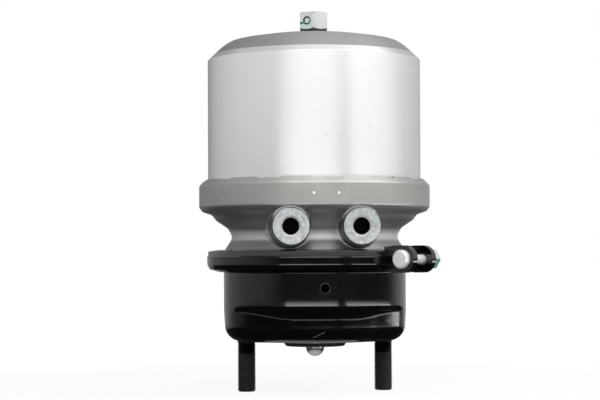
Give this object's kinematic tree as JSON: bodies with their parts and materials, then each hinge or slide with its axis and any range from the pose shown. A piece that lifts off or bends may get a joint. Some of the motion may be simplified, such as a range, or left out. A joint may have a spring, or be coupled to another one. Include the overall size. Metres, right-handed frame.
{
  "type": "brake chamber",
  "caption": "Combination spring brake chamber for disc brakes: aluminium spring housing, cast flange housing with air ports, clamp ring, pressed service housing on studs.",
  "frame": {"origin": "on the chamber's axis, in the mounting face that the studs stand out of", "axes": "+Z along the axis from the mounting face to the release screw's hexagon, X along the line of the studs, -Y the way the air ports face"},
  "size_m": [0.2074, 0.2028, 0.3326],
  "materials": {
    "machined_aluminium": "turned, bright",
    "cast_aluminium": "as cast, matte",
    "black_paint": "gloss black coating on pressed steel",
    "zinc_plate": "zinc plated, satin",
    "phosphate_steel": "dark phosphate",
    "plain_steel": "machined",
    "spring_steel": "black coated spring wire",
    "rubber": "matte",
    "bearing_plastic": "moulded"
  },
  "bodies": {
    "housings": {"service_housing": "black_paint", "stud_left": "phosphate_steel", "stud_right": "phosphate_steel", "diaphragm": "rubber", "flange_housing": "cast_aluminium", "port_bush_left": "zinc_plate", "port_bush_right": "zinc_plate", "tube_guide_bush": "bearing_plastic", "tube_seal": "rubber", "seal_retaining_ring": "plain_steel", "spring_housing": "machined_aluminium", "housing_seal": "rubber", "screw_seal": "rubber", "spring_seat_plate": "plain_steel", "power_spring": "spring_steel", "screw_thrust_washer": "zinc_plate", "rod_boot": "rubber", "boot_retainer": "plain_steel", "return_spring": "spring_steel", "clamp_ring": "black_paint", "clamp_bolt": "zinc_plate", "clamp_nut": "zinc_plate"},
    "screw": {"release_screw": "plain_steel", "release_hex": "zinc_plate", "release_pin": "zinc_plate"},
    "piston": {"spring_piston": "cast_aluminium", "piston_seal": "rubber", "piston_guide_ring": "bearing_plastic", "push_tube": "plain_steel", "tube_end_cap": "plain_steel", "release_nut": "plain_steel"},
    "rod": {"push_rod": "plain_steel", "push_plate": "plain_steel"}
  },
  "joints": [
    {"name": "push_rod_slide", "type": "slide", "parent": "housings", "child": "rod", "axis": [0, 0, -1], "range_m": [0, 0.06], "stiffness_N_per_m": 3000, "springref_m": -0.05, "deforming": ["return_spring", "rod_boot", "diaphragm"]},
    {"name": "piston_slide", "type": "slide", "parent": "housings", "child": "piston", "axis": [0, 0, -1], "range_m": [0, 0.06], "deforming": ["power_spring"]},
    {"name": "release_screw_turn", "type": "hinge", "parent": "housings", "child": "screw", "pos_m": [0, 0, 0.28], "axis": [0, 0, 1], "range_deg": [0, 5400]}
  ],
  "couplings": [
    {"joint": "piston_slide", "follows": "push_rod_slide", "ratio": 1},
    {"joint": "release_screw_turn", "follows": "push_rod_slide", "rad_per_m": 1570.8}
  ]
}
